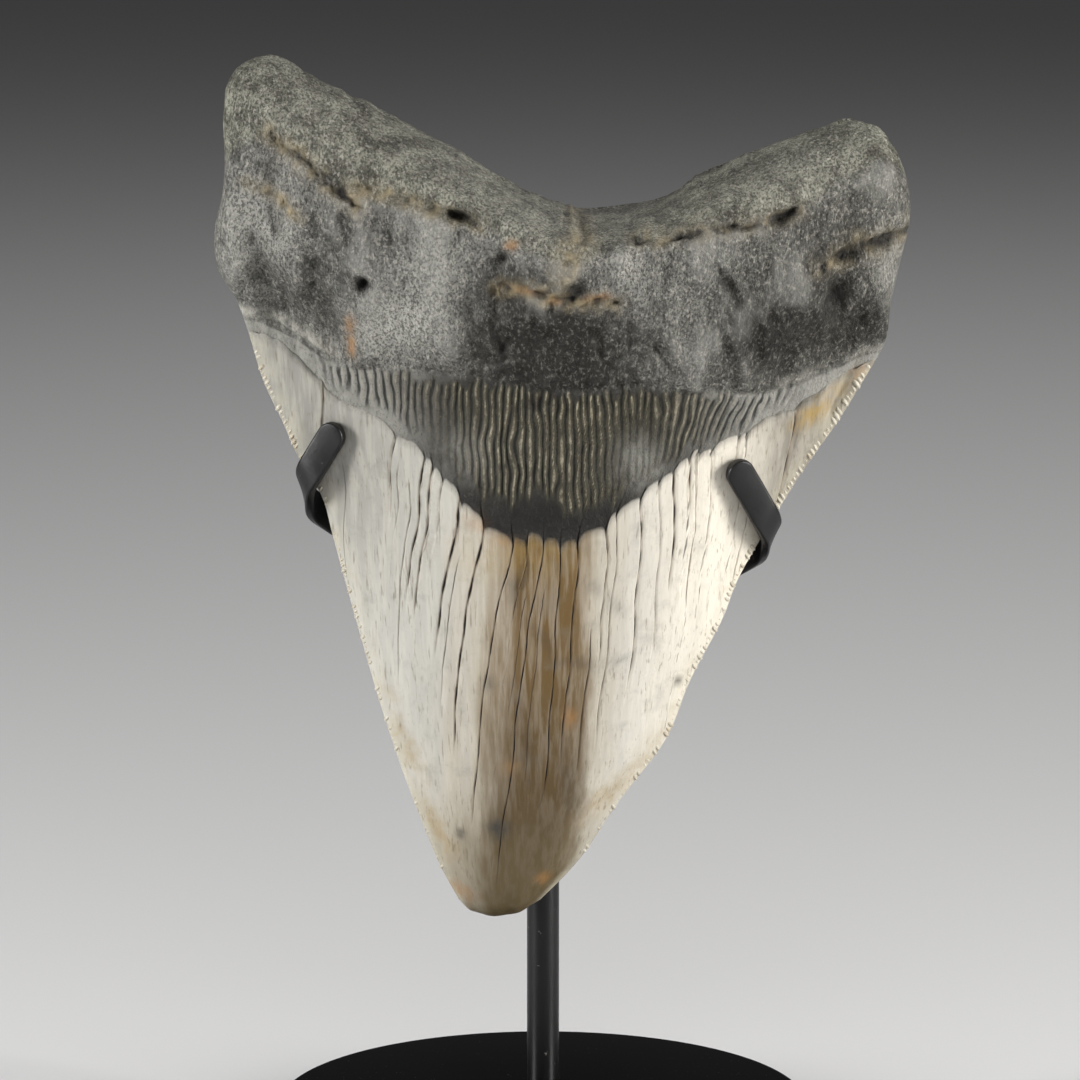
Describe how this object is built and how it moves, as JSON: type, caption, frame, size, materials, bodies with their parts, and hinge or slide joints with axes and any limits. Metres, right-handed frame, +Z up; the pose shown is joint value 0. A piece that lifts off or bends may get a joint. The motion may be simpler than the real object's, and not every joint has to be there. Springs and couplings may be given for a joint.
{
  "type": "megalodon tooth on a stand",
  "caption": "Fossil shark tooth with a two-lobed root and serrated blade, held by two bent metal prong arms on an upright rod and round base.",
  "frame": {"origin": "middle of the felt's underside, on the rod's axis", "axes": "+Z up, +X to the right and -Y towards the viewer who faces the tooth's inner face"},
  "size_m": [0.1088, 0.087, 0.1793],
  "materials": {
    "fossil": "mineralised root, matt dark grey; fossil enamel, satin cream and brown with dark cracks",
    "black_steel": "satin black paint on steel",
    "gloss_black": "gloss black enamel",
    "felt": "matt black felt"
  },
  "bodies": {
    "root": {"tooth": "fossil", "arm_left": "black_steel", "arm_right": "black_steel", "rod": "black_steel", "base": "gloss_black", "base_felt": "felt"}
  },
  "joints": []
}
